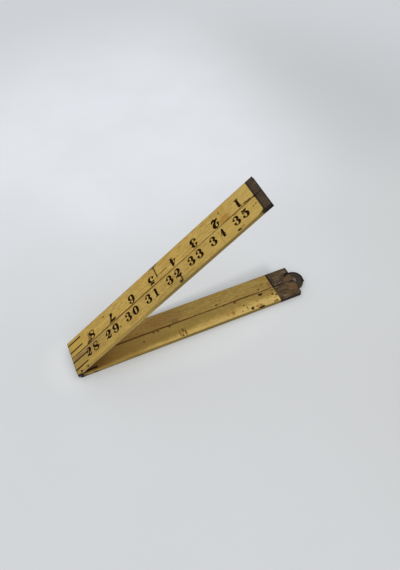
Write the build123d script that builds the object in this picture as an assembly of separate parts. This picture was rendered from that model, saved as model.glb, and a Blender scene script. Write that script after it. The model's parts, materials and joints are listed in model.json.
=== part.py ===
from build123d import *
import os

# Folding rule of three feet in four legs, laid out folded: the inner pair flat on the table, the outer
# pair above it and raised. X runs along the legs to the main joint, Y across them, Z up. The origin is
# the main pivot's foot on the table. Every piece is drawn on the near inner leg and carried from there.

# Legs: nine inches long from hinge line to end, and 1 3/8 in across the closed pair
leg_length = 228.6
rule_width = 34.925
leg_thickness = 4.4
edge_round = 0.35
leg_gap = 0.2
face_gap = 0.2
end_gap = 0.2
raised_angle = 36.7

# Seats of glued, pinned and pressed pieces; the small fixed pins are drawn with flats to keep them light
seat_gap = 0.02
pin_sides = 12

# Main joint
joint_length = 23.4
cheek_thickness = 1.2
side_wall = 1.0
tenon_web = 1.5
head_radius = 10.1
arc_gap = 0.2
corner_round = 1.5
nub_radius = 0.7
nub_reach = 1.2
nub_angle = -21.0
washer_thickness = 0.2
washer_radius = 6.0
washer_play = 0.05
rivet_radius = 1.6
rivet_head_radius = 2.8
rivet_head_depth = 0.8
dimple_radius = 2.2
dimple_depth = 0.5
leaf_pin_radius = 0.9
leaf_pin_margin = 2.7
leaf_pin_side = 4.0

# Fold joints
plate_thickness = 0.9
plate_spacing = 8.3
plate_centre = 9.4
outer_plate_length = 16.9
inner_plate_length = 16.5
knuckle_radius = 2.3
knuckle_gap = 0.1
cove_gap = 0.2
hinge_pin_radius = 0.8
running_gap = 0.05
cross_pin_radius = 0.65
cross_pin_margin = 3.9
outer_first_pin = 4.5
inner_first_pin = 5.0

# Tips
tip_length = 7.3
tip_wall = 0.6
tip_pin_radius = 0.6

# Closing pin
closing_pin_radius = 0.75
closing_pin_place = 25.4
closing_pin_root = 2.2
closing_pin_reach = 1.0
closing_hole_gap = 0.25

# Places that follow from the sizes
leg_width = (rule_width - leg_gap) / 2
leg_inner_y = -leg_gap / 2
leg_outer_y = -rule_width / 2
leg_middle_y = (leg_inner_y + leg_outer_y) / 2
fold_x = -leg_length
fold_z = leg_thickness + face_gap / 2
leg_start_x = fold_x + end_gap / 2
joint_end_x = -end_gap / 2
upper_cheek_z = leg_thickness - cheek_thickness
washer_gap = washer_thickness + washer_play
slot_radius = head_radius + nub_reach + arc_gap
tenon_root = slot_radius + tenon_web
fold_axis = Axis((fold_x, 0, fold_z), (0, 1, 0))


def block(x_range, y_range, z_range):
    """A box given by its two ends along X, Y and Z."""
    size = [high - low for low, high in (x_range, y_range, z_range)]
    low_corner = (x_range[0], y_range[0], z_range[0])
    return Pos(*low_corner) * Box(*size, align=(Align.MIN, Align.MIN, Align.MIN))


def leg_bar(x_from, x_to, inset=0.0):
    """A length of the near inner leg's section, with worn long edges."""
    start = Plane(origin=(x_from, leg_middle_y, leg_thickness / 2), x_dir=(0, 1, 0), z_dir=(1, 0, 0))
    section = RectangleRounded(leg_width - 2 * inset, leg_thickness - 2 * inset, edge_round)
    return extrude(start * section, x_to - x_from)


def upright(section, x, y, z_from, z_to):
    """A flat section carried up along Z."""
    return Pos(x, y, z_from) * extrude(section, z_to - z_from)


def across(section, x, z, y_from, y_to):
    """A flat section carried along Y, across the legs."""
    start = Plane(origin=(x, y_to, z), x_dir=(1, 0, 0), z_dir=(0, -1, 0))
    return extrude(start * section, y_to - y_from)


def pin_section(radius):
    """The section of a small fixed pin."""
    return RegularPolygon(radius, pin_sides)


def to_far(piece):
    """Carry a piece from the near pair to the far pair."""
    return mirror(piece, about=Plane.XZ)


def to_outer(piece):
    """Carry a piece from the inner leg to the outer leg above it, and raise it with that leg."""
    folded = mirror(piece, about=Plane.XY.offset(fold_z))
    return folded.rotate(fold_axis, -raised_angle)


# Fold joint: thin plates set on edge in saw kerfs, with three knuckles on one pin

def plate_places(inner):
    """Y of the middle of each plate: the inner leg's plates stand just outside the outer leg's."""
    middle_y = leg_inner_y - plate_centre
    half_spacing = plate_spacing / 2
    if inner:
        half_spacing += plate_thickness + knuckle_gap
    return [middle_y - half_spacing, middle_y + half_spacing]


def fold_plate(y_middle, length):
    """One plate on edge, through the leg's thickness, with a round end about the fold axis."""
    plate_end_x = fold_x + length
    profile = Pos(leg_start_x, 0) * Rectangle(
        plate_end_x - leg_start_x, leg_thickness, align=(Align.MIN, Align.MIN))
    profile += Pos(fold_x, fold_z) * Circle(knuckle_radius)
    front = Plane.XZ.offset(-(y_middle + plate_thickness / 2))
    return extrude(front * profile, plate_thickness)


def fold_knuckle(y_from, y_to):
    return across(Circle(knuckle_radius), fold_x, fold_z, y_from, y_to)


def cross_pins(inner, gap=0.0):
    """Two pins across the leg that hold its plates, or their holes when a gap is given."""
    first = inner_first_pin if inner else outer_first_pin
    length = inner_plate_length if inner else outer_plate_length
    section = pin_section(cross_pin_radius + gap)
    return [across(section, fold_x + place, leg_thickness / 2, leg_outer_y, leg_inner_y)
            for place in (first, length - cross_pin_margin)]


def fold_cuts(inner):
    """What the fold joint takes out of a wooden leg: cove, kerfs and cross-pin holes."""
    length = inner_plate_length if inner else outer_plate_length
    kerf_end_x = fold_x + length + seat_gap
    half_kerf = plate_thickness / 2 + seat_gap
    cuts = [across(Circle(knuckle_radius + cove_gap), fold_x, fold_z, leg_outer_y, leg_inner_y)]
    for y in plate_places(inner):
        cuts.append(block((fold_x, kerf_end_x), (y - half_kerf, y + half_kerf), (0, leg_thickness)))
    return cuts + cross_pins(inner, seat_gap)


def outer_fold_leaf():
    """The outer leg's leaf: two plates and the middle knuckle in one casting."""
    near_y, far_y = plate_places(inner=False)
    half = plate_thickness / 2
    leaf = fold_knuckle(near_y - half, far_y + half)
    for y in (near_y, far_y):
        leaf += fold_plate(y, outer_plate_length)
    leaf -= across(Circle(hinge_pin_radius + running_gap), fold_x, fold_z, leg_outer_y, leg_inner_y)
    return leaf - cross_pins(inner=False, gap=seat_gap)


def inner_fold_knuckles():
    """The inner leg's two plates, each with a knuckle that reaches the leg's edge."""
    near_y, far_y = plate_places(inner=True)
    half = plate_thickness / 2
    near = fold_plate(near_y, inner_plate_length) + fold_knuckle(leg_outer_y, near_y + half)
    far = fold_plate(far_y, inner_plate_length) + fold_knuckle(far_y - half, leg_inner_y)
    bore = across(Circle(hinge_pin_radius + seat_gap), fold_x, fold_z, leg_outer_y, leg_inner_y)
    holes = [bore] + cross_pins(inner=True, gap=seat_gap)
    return [near - holes, far - holes]


def fold_pin():
    return across(Circle(hinge_pin_radius), fold_x, fold_z, leg_outer_y, leg_inner_y)


# Main joint: a fork of two cheeks on the near leg and a single tongue on the far leg

def leaf_pins(gap=0.0):
    """Three flush rivets through both cheeks and the wooden tenon, or their holes."""
    open_x = -joint_length + leaf_pin_margin
    root_x = -tenon_root - leaf_pin_margin
    section = pin_section(leaf_pin_radius + gap)
    return [
        upright(section, open_x, leg_inner_y - leaf_pin_side, 0, leg_thickness),
        upright(section, open_x, leg_outer_y + leaf_pin_side, 0, leg_thickness),
        upright(section, root_x, leg_middle_y, 0, leg_thickness),
    ]


def joint_shell(end_corner_round):
    """Brass box round the leg's end: cheeks, side wall and solid end, open for the wooden tenon."""
    plan = Pos(joint_end_x, leg_inner_y) * Rectangle(
        joint_length + joint_end_x, leg_width, align=(Align.MAX, Align.MAX))
    corner = plan.vertices().sort_by_distance((joint_end_x, leg_outer_y, 0))[0]
    plan = fillet(corner, end_corner_round)
    shell = leg_bar(-joint_length, joint_end_x) & extrude(plan, leg_thickness)
    shell -= block((-joint_length, -tenon_root), (leg_outer_y + side_wall, leg_inner_y),
                   (cheek_thickness, upper_cheek_z))
    return shell - leaf_pins(seat_gap)


def rivet_form(gap=0.0):
    """The main rivet, flush at both faces with a coned seat under each head, or the seat it fills."""
    head = rivet_head_radius + gap
    shank = rivet_radius + gap
    profile = Plane.XZ * Polyline(
        (0, 0),
        (head, 0),
        (shank, rivet_head_depth),
        (shank, leg_thickness - rivet_head_depth),
        (head, leg_thickness),
        (0, leg_thickness),
        close=True)
    return revolve(make_face(profile), Axis.Z)


def joint_fork():
    """Near leaf: the head discs are one with the cheeks, and the slot between them takes the tongue."""
    fork = joint_shell(corner_round)
    fork -= upright(Circle(slot_radius), 0, 0, cheek_thickness, upper_cheek_z)
    fork += upright(Circle(head_radius), 0, 0, 0, cheek_thickness)
    fork += upright(Circle(head_radius), 0, 0, upper_cheek_z, leg_thickness)
    return fork - rivet_form(seat_gap)


def joint_tongue():
    """Far leaf, drawn on the near leg: cheeks that end in an arc round the heads, and the tongue."""
    low = cheek_thickness + washer_gap
    high = upper_cheek_z - washer_gap
    tongue = joint_shell(edge_round)
    tongue -= upright(Circle(head_radius + arc_gap), 0, 0, 0, low)
    tongue -= upright(Circle(head_radius + arc_gap), 0, 0, high, leg_thickness)
    tongue += upright(Circle(head_radius), 0, 0, low, high)
    nub_x = head_radius + nub_reach - nub_radius
    tongue += Rot(0, 0, -nub_angle) * upright(Circle(nub_radius), nub_x, 0, low, high)
    return tongue - upright(Circle(rivet_radius + running_gap), 0, 0, 0, leg_thickness)


def joint_washers():
    """Two thin washers, one against the inside of each cheek."""
    ring = Circle(washer_radius) - Circle(rivet_radius + running_gap)
    washer = extrude(ring, washer_thickness)
    return [Pos(0, 0, cheek_thickness) * washer, Pos(0, 0, upper_cheek_z - washer_thickness) * washer]


def joint_rivet():
    """The rivet with the shallow dimple that the setting punch left in its upper end."""
    dimple = Cone(0, dimple_radius, dimple_depth, align=(Align.CENTER, Align.CENTER, Align.MAX))
    return rivet_form() - Pos(0, 0, leg_thickness) * dimple


# Tips

def tip_cap():
    """Brass cap over the end of an outer leg."""
    cap = leg_bar(-tip_length, 0) - leg_bar(-tip_length, -tip_wall, inset=tip_wall)
    return cap - tip_pin(seat_gap)


def tip_pin(gap=0.0):
    return upright(pin_section(tip_pin_radius + gap), -tip_length / 2, leg_middle_y, 0, leg_thickness)


# Closing pin: in the edge of the near inner leg, it enters the far one when the rule is shut

def closing_rod(y_from, y_to, gap=0.0):
    """A rod on the line of the closing pin, as wide as the pin and a gap round it."""
    section = Circle(closing_pin_radius + gap)
    return across(section, fold_x + closing_pin_place, leg_thickness / 2, y_from, y_to)


def closing_pin():
    return closing_rod(leg_inner_y - closing_pin_root, closing_pin_reach)


def closing_pin_seat():
    return closing_rod(leg_inner_y - closing_pin_root - seat_gap, leg_inner_y, seat_gap)


def closing_hole():
    """The hole in the far leg, drawn on the near leg."""
    depth = closing_pin_reach + leg_inner_y + closing_hole_gap
    return closing_rod(leg_inner_y - depth, leg_inner_y, closing_hole_gap)


# Wooden legs

def inner_leg():
    """Boxwood strip with a tenon for the main joint's leaf."""
    wood = leg_bar(leg_start_x, -joint_length - seat_gap)
    wood += block((-joint_length - seat_gap, -tenon_root - seat_gap),
                  (leg_outer_y + side_wall + seat_gap, leg_inner_y),
                  (cheek_thickness + seat_gap, upper_cheek_z - seat_gap))
    return wood - fold_cuts(inner=True) - leaf_pins(seat_gap)


def outer_leg():
    """Boxwood strip with its end reduced for the tip."""
    wood = leg_bar(leg_start_x, -tip_length - seat_gap)
    wood += leg_bar(-tip_length - seat_gap, -tip_wall - seat_gap, inset=tip_wall + seat_gap)
    return wood - fold_cuts(inner=False) - tip_pin(seat_gap)


near_inner_leg = inner_leg() - closing_pin_seat()
far_inner_leg = to_far(inner_leg() - closing_hole())
raised_leg = to_outer(outer_leg())
raised_leaf = to_outer(outer_fold_leaf())
inner_cross_pins = cross_pins(inner=True)
raised_cross_pins = [to_outer(rod) for rod in cross_pins(inner=False)]
raised_tip = to_outer(tip_cap())
raised_tip_pin = to_outer(tip_pin())

pieces = {
    "inner_leg_18_27": near_inner_leg,
    "inner_leg_9_18": far_inner_leg,
    "outer_leg_27_36": raised_leg,
    "outer_leg_0_9": to_far(raised_leg),
    "joint_fork": joint_fork(),
    "joint_tongue": to_far(joint_tongue()),
    "joint_washers": joint_washers(),
    "joint_rivet": joint_rivet(),
    "joint_fork_pins": leaf_pins(),
    "joint_tongue_pins": [to_far(rod) for rod in leaf_pins()],
    "fold_knuckles_18_27": inner_fold_knuckles(),
    "fold_knuckles_9_18": [to_far(half) for half in inner_fold_knuckles()],
    "fold_leaf_27_36": raised_leaf,
    "fold_leaf_0_9": to_far(raised_leaf),
    "fold_pin_near": fold_pin(),
    "fold_pin_far": to_far(fold_pin()),
    "cross_pins_18_27": inner_cross_pins,
    "cross_pins_9_18": [to_far(rod) for rod in inner_cross_pins],
    "cross_pins_27_36": raised_cross_pins,
    "cross_pins_0_9": [to_far(rod) for rod in raised_cross_pins],
    "tip_36": raised_tip,
    "tip_0": to_far(raised_tip),
    "tip_pin_36": raised_tip_pin,
    "tip_pin_0": to_far(raised_tip_pin),
    "closing_pin": closing_pin(),
}

os.makedirs("parts", exist_ok=True)
for name, piece in pieces.items():
    solids = piece if isinstance(piece, list) else [piece]
    export_step(Compound(children=solids) if len(solids) > 1 else solids[0], f"parts/{name}.step")
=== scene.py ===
import json
import math

import bmesh
import bpy
from mathutils import Matrix, Vector, noise
from mathutils.geometry import delaunay_2d_cdt


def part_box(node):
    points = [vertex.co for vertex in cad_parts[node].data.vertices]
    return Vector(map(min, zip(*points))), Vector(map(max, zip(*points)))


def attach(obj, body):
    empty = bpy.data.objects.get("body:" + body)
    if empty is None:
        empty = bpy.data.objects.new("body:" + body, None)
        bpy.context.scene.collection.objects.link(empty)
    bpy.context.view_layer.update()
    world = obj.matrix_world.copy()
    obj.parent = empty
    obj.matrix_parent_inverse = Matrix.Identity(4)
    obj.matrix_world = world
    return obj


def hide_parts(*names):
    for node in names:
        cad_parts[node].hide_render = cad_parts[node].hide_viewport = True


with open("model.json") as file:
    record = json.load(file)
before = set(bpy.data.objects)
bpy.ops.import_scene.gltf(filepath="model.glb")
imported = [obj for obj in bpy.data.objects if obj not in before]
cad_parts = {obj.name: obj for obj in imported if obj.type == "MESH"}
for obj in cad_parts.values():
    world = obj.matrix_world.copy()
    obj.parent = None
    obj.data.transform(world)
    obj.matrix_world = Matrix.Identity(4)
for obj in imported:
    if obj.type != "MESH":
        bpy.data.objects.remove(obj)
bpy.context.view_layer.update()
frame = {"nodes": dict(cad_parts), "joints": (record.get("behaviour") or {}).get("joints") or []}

mm = 0.001


# Boxwood legs
# Four thin strips of yellow boxwood, planed and varnished, rubbed round along their outer edges and
# stained with use. Two lie side by side on the table, and the brass fold joints in their left ends hold
# the two that are folded back over them and raised.

# A leg is worked flat: X along it from the fold, Y across the rule and Z out from the plane of the fold.
fold_joints = {joint["name"]: joint for joint in frame["joints"]}
fold_place = Vector(fold_joints["fold_near"]["pos_m"])
fold_place.y = 0
raised_angle = -math.radians(fold_joints["fold_near"]["range_deg"][0])
lying = Matrix.Translation(fold_place)
raised = lying @ Matrix.Rotation(-raised_angle, 4, "Y")

leg_low, leg_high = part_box("inner_leg_9_18")
leg_thickness = leg_high.z - leg_low.z
face_offset = fold_place.z - leg_thickness
outer_face = face_offset + leg_thickness
leg_length = -fold_place.x
# The wood of a lying leg clears the table by this much, which leaves room for the ink on its underside.
underside_lift = 0.045 * mm
# Too short to matter when a mesh is cut. Points within a tenth of it are joined.
hair = 1e-6


def cad_shape(node, place):
    """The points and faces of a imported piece, laid in the axes of `place`."""
    source = frame["nodes"][node].data
    back = place.inverted()
    shape = bmesh.new()
    points = [shape.verts.new(back @ vertex.co) for vertex in source.vertices]
    for polygon in source.polygons:
        corners = [points[index] for index in polygon.vertices]
        if len(set(corners)) == len(corners) and shape.faces.get(corners) is None:
            shape.faces.new(corners)
    bmesh.ops.remove_doubles(shape, verts=shape.verts, dist=hair / 10)
    bmesh.ops.dissolve_limit(
        shape, angle_limit=math.radians(1), verts=shape.verts, edges=shape.edges, delimit={"NORMAL"})
    return shape


def placed(name, data):
    """A new object in the scene."""
    made = bpy.data.objects.new(name, data)
    bpy.context.scene.collection.objects.link(made)
    return made


def piece(name, shape, place, look, body, sharp_angle=35):
    """A finished mesh with its material, riding on its body."""
    bmesh.ops.recalc_face_normals(shape, faces=shape.faces)
    mesh = bpy.data.meshes.new(name)
    shape.to_mesh(mesh)
    shape.free()
    mesh.shade_smooth()
    mesh.set_sharp_from_angle(angle=math.radians(sharp_angle))
    mesh.materials.append(look)
    made = placed(name, mesh)
    made.matrix_world = place
    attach(made, body)
    return made


class Finish:
    """A material that starts from one plain colour and is built up in coats."""

    def __init__(self, name, ground, metallic=0.0, roughness=0.5, shine=0.5):
        self.material = bpy.data.materials.new(name)
        self.material.use_nodes = True
        self.tree = self.material.node_tree
        self.shader = self.tree.nodes["Principled BSDF"]
        self.shader.inputs["Metallic"].default_value = metallic
        self.shader.inputs["Roughness"].default_value = roughness
        self.shader.inputs["Specular IOR Level"].default_value = shine
        self.colour = ground
        self.feed(self.shader.inputs["Base Color"], ground)

    def coat(self, share, shade):
        """Lays a shade over the colour so far, by its share from 0 to 1."""
        self.colour = self.blend(share, self.colour, shade)
        self.feed(self.shader.inputs["Base Color"], self.colour)

    def feed(self, socket, value):
        if isinstance(value, bpy.types.NodeSocket):
            self.tree.links.new(value, socket)
        elif isinstance(value, tuple) and len(value) == 3 and socket.type == "RGBA":
            socket.default_value = (*value, 1)
        else:
            socket.default_value = value

    def add(self, kind, inputs, output=0, **settings):
        node = self.tree.nodes.new("ShaderNode" + kind)
        for setting, value in settings.items():
            setattr(node, setting, value)
        for place, value in inputs.items():
            self.feed(node.inputs[place], value)
        return node.outputs[output]

    def place(self):
        """Coordinates in the piece's own axes, in millimetres."""
        own = self.tree.nodes.new("ShaderNodeTexCoord").outputs["Object"]
        return self.stretched(own, (1 / mm, 1 / mm, 1 / mm))

    def facing(self):
        """The surface's direction in the piece's own axes."""
        return self.split(self.tree.nodes.new("ShaderNodeTexCoord").outputs["Normal"])

    def stretched(self, vector, scale, shift=(0, 0, 0)):
        return self.add("Mapping", {"Vector": vector, "Scale": scale, "Location": shift})

    def turned(self, vector, degrees):
        """Coordinates turned about Z."""
        return self.add("Mapping", {"Vector": vector, "Rotation": (0, 0, math.radians(degrees))})

    def cloud(self, vector, scale, detail=2.0, roughness=0.5):
        """Soft noise, with one scale or one for each axis, where a smaller one draws it out."""
        if isinstance(scale, tuple):
            vector, scale = self.stretched(vector, scale), 1.0
        return self.add(
            "TexNoise", {"Vector": vector, "Scale": scale, "Detail": detail, "Roughness": roughness})

    def swung(self, cloud, reach):
        """A cloud moved to swing about 0."""
        return self.times(self.minus(cloud, 0.5), reach)

    def ramp(self, value, low, high, start=0.0, end=1.0):
        """`start` up to low, `end` from high, and a smooth rise between them."""
        return self.add(
            "MapRange",
            {"Value": value, "From Min": low, "From Max": high, "To Min": start, "To Max": end},
            interpolation_type="SMOOTHSTEP")

    def math(self, operation, first, second=0.0):
        return self.add("Math", {0: first, 1: second}, operation=operation)

    def times(self, first, second):
        return self.math("MULTIPLY", first, second)

    def plus(self, first, second):
        return self.math("ADD", first, second)

    def minus(self, first, second):
        return self.math("SUBTRACT", first, second)

    def unsigned(self, value):
        return self.math("ABSOLUTE", value)

    def blend(self, share, first, second):
        """The first colour where share is 0, the second where it is 1."""
        return self.add("Mix", {0: share, 6: first, 7: second}, output=2, data_type="RGBA")

    def split(self, vector):
        node = self.tree.nodes.new("ShaderNodeSeparateXYZ")
        self.tree.links.new(vector, node.inputs[0])
        return node.outputs

    def spot(self, vector, centre, reach):
        """How far a point is from a spot's centre, where 1 is the spot's rim."""
        away = self.add("VectorMath", {0: vector, 1: centre}, operation="SUBTRACT")
        scaled = self.add(
            "VectorMath", {0: away, 1: tuple(1 / size for size in reach)}, operation="MULTIPLY")
        return self.add("VectorMath", {0: scaled}, output=1, operation="LENGTH")

    def bar(self, vector, centre, half_size, soft):
        """1 inside a flat bar on X and Y, falling to 0 over a soft border round it."""
        away = self.add("VectorMath", {0: vector, 1: (*centre, 0)}, operation="SUBTRACT")
        away = self.add("VectorMath", {0: away}, operation="ABSOLUTE")
        past = self.split(self.add("VectorMath", {0: away, 1: (*half_size, 0)}, operation="SUBTRACT"))
        return self.ramp(self.math("MAXIMUM", past[0], past[1]), 0, soft, 1, 0)

    def bump(self, height, depth):
        """Raises the surface by `height` times `depth` millimetres."""
        normal = self.add("Bump", {"Height": height, "Distance": depth * mm})
        self.tree.links.new(normal, self.shader.inputs["Normal"])

    def roughness(self, value):
        self.feed(self.shader.inputs["Roughness"], value)


def paint(red, green, blue):
    """A colour given as it would be mixed on a screen, 0 to 255."""
    def lit(level):
        share = level / 255
        return share / 12.92 if share <= 0.04045 else ((share + 0.055) / 1.055) ** 2.4
    return (lit(red), lit(green), lit(blue))


def boxwood(name, leg):
    """Varnished boxwood: fine lengthwise grain, cloudy yellow, grime along its edges and in its kerfs, and
    this leg's own stains, specks and scored lines."""
    finish = Finish(name, leg["pale"], shine=0.12)
    own = finish.place()
    x, y, z = finish.split(own)[:3]
    from_seam = finish.unsigned(y)
    # Each leg takes its grain from its own part of the clouds.
    shifted = finish.stretched(own, (1, 1, 1), (leg["seed"] * 61.0, leg["seed"] * 17.0, 0))
    patches = finish.cloud(shifted, (0.035, 0.13, 0.13), 3.0)
    blotches = finish.cloud(shifted, (0.16, 0.42, 0.42), 4.0, 0.6)
    streaks = finish.cloud(shifted, (0.035, 1.3, 1.3), 3.0, 0.6)
    fibres = finish.cloud(shifted, (0.12, 4.5, 4.5), 3.0, 0.65)
    mottle = finish.cloud(shifted, (0.24, 1.0, 1.0), 3.0, 0.65)
    tints = finish.cloud(shifted, (0.11, 0.7, 0.7), 3.0, 0.65)
    smudge = finish.cloud(shifted, (0.8, 0.8, 0.8), 3.0, 0.6)
    ragged = finish.swung(finish.cloud(shifted, (0.22, 0.9, 0.9), 3.0, 0.6), 1.1)

    # Grain: each tone begins at one level of its cloud and reaches its share at the next.
    finish.coat(finish.ramp(patches, 0.36, 0.64), leg["deep"])
    for cloud, start, full, share, tone in (
            (blotches, 0.5, 0.68, 0.5, "warm"), (blotches, 0.48, 0.32, 0.45, "green"),
            (tints, 0.5, 0.66, 0.5, "warm"), (tints, 0.48, 0.34, 0.5, "green"),
            (streaks, 0.5, 0.68, 0.5, "line"), (streaks, 0.47, 0.32, 0.45, "light"),
            (fibres, 0.5, 0.64, 0.5, "line"),
            (mottle, 0.5, 0.64, 0.5, "line"), (mottle, 0.48, 0.34, 0.5, "light")):
        finish.coat(finish.ramp(cloud, start, full, 0, share * leg["grain"]), leg[tone])

    # Broad washes of colour, whose borders wander by `sway` millimetres. On the lying legs they are
    # painted light and shade.
    sway = 9.0
    drift = finish.plus(finish.times(patches, sway), finish.times(blotches, sway))
    drift = finish.minus(drift, sway)
    for direction, start, full, shade, share in leg["washes"]:
        across = finish.add("VectorMath", {0: own, 1: (*direction, 0)}, output=1, operation="DOT_PRODUCT")
        finish.coat(finish.ramp(finish.plus(across, drift), start, full, 0, share), shade)

    # Grime along the seam, in the kerfs and beside the brass, and a tone along the outer edge: darker on
    # most legs, but on the near upper leg a painted highlight on the rounded arris. The sides take painted
    # light and shade, with a painted contact shadow low down.
    near_seam = finish.ramp(finish.plus(from_seam, ragged), *leg["seam"])
    finish.coat(finish.times(near_seam, finish.ramp(blotches, 0.4, 0.6, 0.4, 1)), seam_grime)
    finish.coat(
        finish.ramp(finish.plus(from_seam, ragged), *edge_start, 0, leg["edge_share"]), leg["edge"])
    facing = finish.facing()
    on_side = finish.ramp(finish.unsigned(facing[1]), 0.75, 0.95, 0, 1)
    low_z, high_z = leg["face_z"]
    # The sides take painted light and shade: lighter or darker by height, darker towards the far end,
    # blotched with grime.
    painted_side_shading = finish.blend(finish.ramp(z, low_z + 0.3, high_z - 0.6), leg["painted_side_low"], leg["painted_side_high"])
    painted_side_shading = finish.blend(finish.ramp(x, *side_turns), painted_side_shading, leg["painted_side_far"])
    painted_side_shading = finish.blend(finish.ramp(streaks, 0.45, 0.7, 0, 0.5), painted_side_shading, leg["painted_side_far"])
    painted_side_shading = finish.blend(finish.ramp(blotches, 0.55, 0.72, 0, 0.5), painted_side_shading, edge_grime)
    finish.coat(finish.times(on_side, 0.85), painted_side_shading)
    # A painted contact shadow along the foot of each side, strongest on the lying legs.
    foot = finish.ramp(z, low_z + 0.9, low_z + 0.3, 0, leg["foot_shade_share"])
    finish.coat(finish.times(on_side, foot), grime_and_shade_brown)
    for plate_y, plate_end, half_width in leg["kerfs"]:
        kerf = finish.bar(own, (plate_end / 2, plate_y), (plate_end / 2, half_width), line_softness)
        finish.coat(finish.times(kerf, 0.95), grime_and_shade_brown)
    finish.coat(finish.ramp(x, 0.2, 2.2, 0.45, 0), edge_grime)
    finish.coat(finish.ramp(finish.plus(x, finish.times(ragged, 0.4)), *leg["brass_line"]), grime_and_shade_brown)

    wobble = finish.swung(smudge, 1.5)
    for centre, reach, shade, share in leg["stains"]:
        if len(centre) == 2:
            centre, reach = (*centre, high_z), (*reach, 1.0)
        rim = finish.plus(finish.spot(own, centre, reach), wobble)
        finish.coat(finish.ramp(rim, 0.8, 1.25, share, 0), shade)
    for centre, half_size, share in leg["scored"]:
        line = finish.bar(own, centre, half_size, line_softness)
        line = finish.times(line, finish.ramp(smudge, 0.32, 0.5, share * 0.6, share))
        finish.coat(finish.times(line, finish.ramp(facing[2], 0.2, 0.6)), grime_and_shade_brown)

    specks = 0.0
    for start, full, middle_y, spread, share in leg["specks"]:
        cells = finish.tree.nodes.new("ShaderNodeTexVoronoi")
        cells.inputs["Scale"].default_value = 0.5
        finish.tree.links.new(shifted, cells.inputs["Vector"])
        chance = finish.split(cells.outputs["Color"])[0]
        off_middle = finish.unsigned(finish.minus(y, middle_y))
        wanted = finish.times(
            finish.ramp(x, start, full, 0, share), finish.ramp(off_middle, spread, 0, 0, 1))
        radius = finish.times(finish.ramp(finish.minus(wanted, chance), 0, 0.3), 0.4)
        found = finish.ramp(finish.minus(radius, cells.outputs["Distance"]), -0.05, 0.15, 0, 0.9)
        specks = finish.math("MAXIMUM", specks, found)
    finish.coat(specks, speck_brown)
    finish.roughness(finish.ramp(patches, 0.3, 0.7, 0.42, 0.58))
    relief = finish.plus(finish.times(fibres, 0.6), streaks)
    finish.bump(finish.minus(relief, finish.times(specks, 1.5)), 0.03)
    return finish.material


def worn_leg(node, place, face_z, outer_side, chips, seed):
    """The strip of a packed leg, cut into short lengths, with its outer long edges rubbed round unevenly
    and those at the seam still crisp."""
    step = 1.5 * mm
    full_round = 1.1 * mm
    rows = 3
    slow_wave, quick_wave = 23, 4.3
    nick_depth = 0.2
    # A corner rounded by 3 mm is cut back by nearly 1 mm.
    round_for_depth = 3
    shape = cad_shape(node, place)
    low_y = min(vertex.co.y for vertex in shape.verts)
    high_y = max(vertex.co.y for vertex in shape.verts)
    low_z, high_z = face_z
    cuts = [((index * step, 0, 0), (1, 0, 0)) for index in range(1, int(leg_length / step) + 1)]
    for row in range(1, rows + 1):
        inset = full_round * row / rows
        cuts += [((0, y, 0), (0, 1, 0)) for y in (low_y + inset, high_y - inset)]
        cuts += [((0, 0, z), (0, 0, 1)) for z in (low_z + inset, high_z - inset)]
    for point, normal in cuts:
        bmesh.ops.bisect_plane(
            shape, geom=shape.verts[:] + shape.edges[:] + shape.faces[:], dist=hair,
            plane_co=Vector(point), plane_no=Vector(normal))
    for vertex in shape.verts:
        x, y, z = vertex.co
        to_side, side = min((y - low_y, -1), (high_y - y, 1))
        to_face, face = min((z - low_z, -1), (high_z - z, 1))
        from_edge = max(to_side, to_face)
        if from_edge > full_round + hair or min(to_side, to_face) > hair:
            continue
        edge_seed = seed * 10 + side * 3 + face
        slow = noise.noise(Vector((x / mm / slow_wave, edge_seed, 0)))
        quick = noise.noise(Vector((x / mm / quick_wave, edge_seed, 5)))
        # The plain rounding in millimetres, how far slow wear sways it, and the level where nicks begin.
        plain, sway, nick_level = (0.85, 0.25, 0.1) if side == outer_side else (0.2, 0.1, 0.15)
        rubbed = plain + sway * slow + nick_depth * max(0, quick - nick_level)
        if side == outer_side and face > 0:
            for chip_x, length, chip_depth in chips:
                rubbed += round_for_depth * chip_depth * math.exp(-((x / mm - chip_x) / length) ** 2)
        turn = (1 - from_edge / full_round) * math.pi / 4
        across = rubbed * mm * (1 - math.sin(turn))
        sunk = rubbed * mm * (1 - math.cos(turn))
        to_side, to_face = (sunk, across) if to_side < to_face else (across, sunk)
        vertex.co.y = high_y - to_side if side > 0 else low_y + to_side
        vertex.co.z = high_z - to_face if face > 0 else low_z + to_face
    if place is lying:
        for vertex in shape.verts:
            vertex.co.z = max(vertex.co.z, low_z + underside_lift)
        bmesh.ops.remove_doubles(shape, verts=shape.verts, dist=hair / 10)
    return shape


top_face = outer_face / mm
seen_face = -face_offset / mm
seam_grime = paint(84, 50, 6)
seam_brown = paint(90, 54, 8)
edge_grime = paint(98, 82, 40)
grime_and_shade_brown = paint(46, 30, 0)
speck_brown = paint(62, 38, 2)
brown_stain = paint(86, 56, 8)
black_stain = paint(36, 16, 0)
orange_stain = paint(164, 114, 44)
purple_stain = paint(110, 80, 50)
# The saw kerfs of each pair of legs: their places across, their ends and their half widths.
plate_places = {"outer": (5.35, 13.65), "inner": (4.35, 14.65)}
plate_ends = {"outer": 16.9, "inner": 16.5}
kerf_half_widths = {"outer": 0.6, "inner": 1.0}
line_softness = 0.35
edge_start = (16.9, 17.3)
side_turns = (80, 125)
upper_tones = dict(
    painted_side_low=paint(182, 154, 84), painted_side_high=paint(166, 137, 64), painted_side_far=paint(128, 104, 48),
    foot_shade_share=0.2, seam=(0.3, 0.9, 0.7, 0), brass_line=(220.6, 221.2, 0, 0.85))
lower_tones = dict(
    painted_side_low=paint(124, 103, 46), painted_side_high=paint(156, 128, 54), painted_side_far=paint(128, 107, 50),
    edge=edge_grime, edge_share=0.6, foot_shade_share=0.85, seam=(0.5, 1.1, 0.9, 0), scored=[])

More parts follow.
